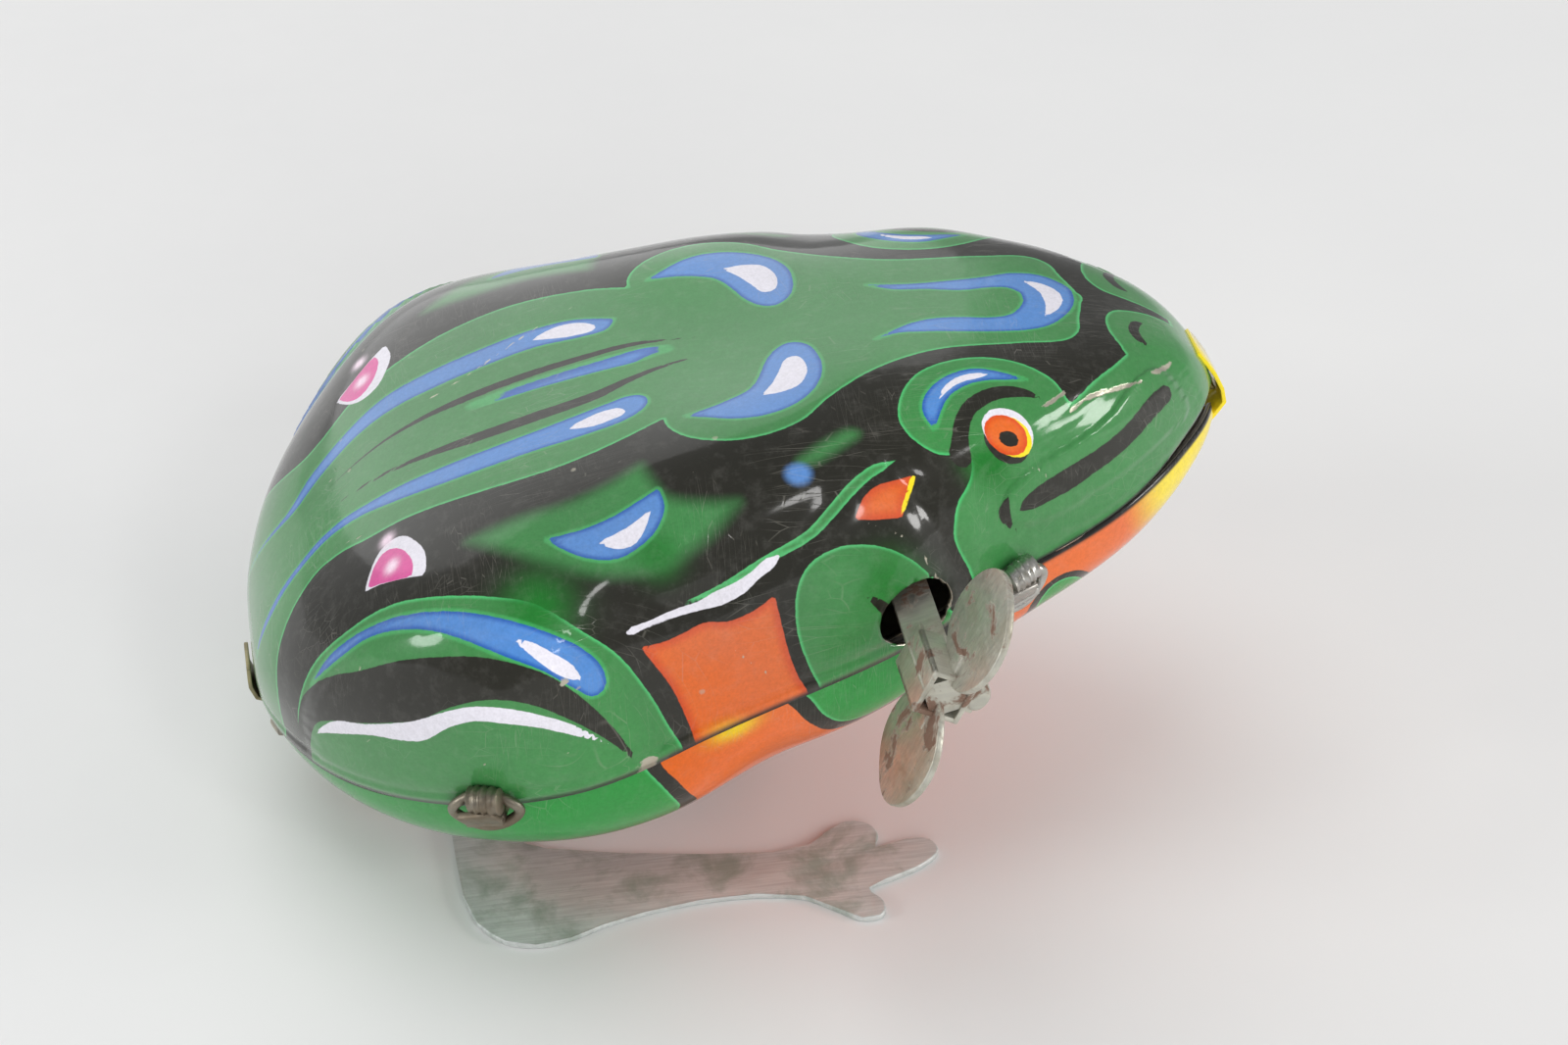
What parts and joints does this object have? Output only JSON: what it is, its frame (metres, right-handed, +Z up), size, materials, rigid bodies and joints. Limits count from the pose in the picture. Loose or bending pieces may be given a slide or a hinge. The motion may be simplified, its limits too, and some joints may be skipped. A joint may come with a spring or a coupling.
{
  "type": "wind-up jumping tin frog",
  "caption": "Pressed-tin frog with printed shells, a winding key on its side, a spring-driven cam movement inside and a sprung leg plate that kicks it into a hop.",
  "frame": {"origin": "underside of the leg plate's cross bar, at its middle, where the frog stands on the ground", "axes": "+X towards the nose, +Y to the frog's left, +Z up"},
  "size_m": [0.071, 0.0571, 0.0361],
  "materials": {
    "painted_top": "gloss lacquered print, green with black, blue, white, orange and pink",
    "painted_belly": "gloss lacquered print, orange with green and black",
    "bare_steel": "bare sheet steel, dull",
    "leg_steel": "bare sheet steel with faint tarnish",
    "key_steel": "bare sheet steel with rust blotches",
    "clip_steel": "bare steel, tooth marked, brown tarnish",
    "spring_steel": "blued spring steel",
    "brass": "stamped brass, dull"
  },
  "bodies": {
    "frog_body": {"upper_shell": "painted_top", "lower_shell": "painted_belly", "frame_plate_right": "bare_steel", "frame_plate_left": "bare_steel", "pillar_rear": "bare_steel", "pillar_belly": "bare_steel", "pillar_front": "bare_steel", "hinge_pin": "bare_steel", "mainspring": "spring_steel", "leg_spring": "spring_steel", "seam_lug_rear_right": "clip_steel", "seam_lug_rear_left": "clip_steel", "seam_lug_front_right": "clip_steel", "seam_lug_front_left": "clip_steel", "seam_ring_rear_right": "clip_steel", "seam_ring_rear_left": "clip_steel", "seam_ring_front_right": "clip_steel", "seam_ring_front_left": "clip_steel"},
    "key_shaft": {"winding_arbor": "key_steel", "winding_key": "key_steel", "ratchet_wheel": "bare_steel"},
    "drive_wheel": {"great_wheel": "brass", "click_rivet": "brass"},
    "click": {"click_pawl": "bare_steel"},
    "cam_shaft": {"cam_arbor": "bare_steel", "cam_pinion": "brass", "leg_cam": "bare_steel"},
    "legs": {"leg_plate": "leg_steel"}
  },
  "joints": [
    {"name": "key_turn", "type": "hinge", "parent": "frog_body", "child": "key_shaft", "pos_m": [0.02897, 0, 0.0236], "axis": [0, 1, 0], "continuous": true},
    {"name": "wheel_turn", "type": "hinge", "parent": "frog_body", "child": "drive_wheel", "pos_m": [0.02897, 0, 0.0236], "axis": [0, 1, 0], "continuous": true},
    {"name": "click_lift", "type": "hinge", "parent": "drive_wheel", "child": "click", "pos_m": [0.02751, 0, 0.02962], "axis": [0, -1, 0], "range_deg": [0, 18], "stiffness_Nm_per_rad": 0.00002, "springref_deg": -17.19},
    {"name": "cam_turn", "type": "hinge", "parent": "frog_body", "child": "cam_shaft", "pos_m": [0.02131, 0, 0.01697], "axis": [0, 1, 0], "continuous": true},
    {"name": "leg_swing", "type": "hinge", "parent": "frog_body", "child": "legs", "pos_m": [-0.0015, 0, 0.01016], "axis": [0, -1, 0], "range_deg": [0, 15], "stiffness_Nm_per_rad": 0.03, "springref_deg": -34.38}
  ],
  "couplings": [
    {"joint": "cam_turn", "follows": "wheel_turn", "ratio": -4}
  ]
}
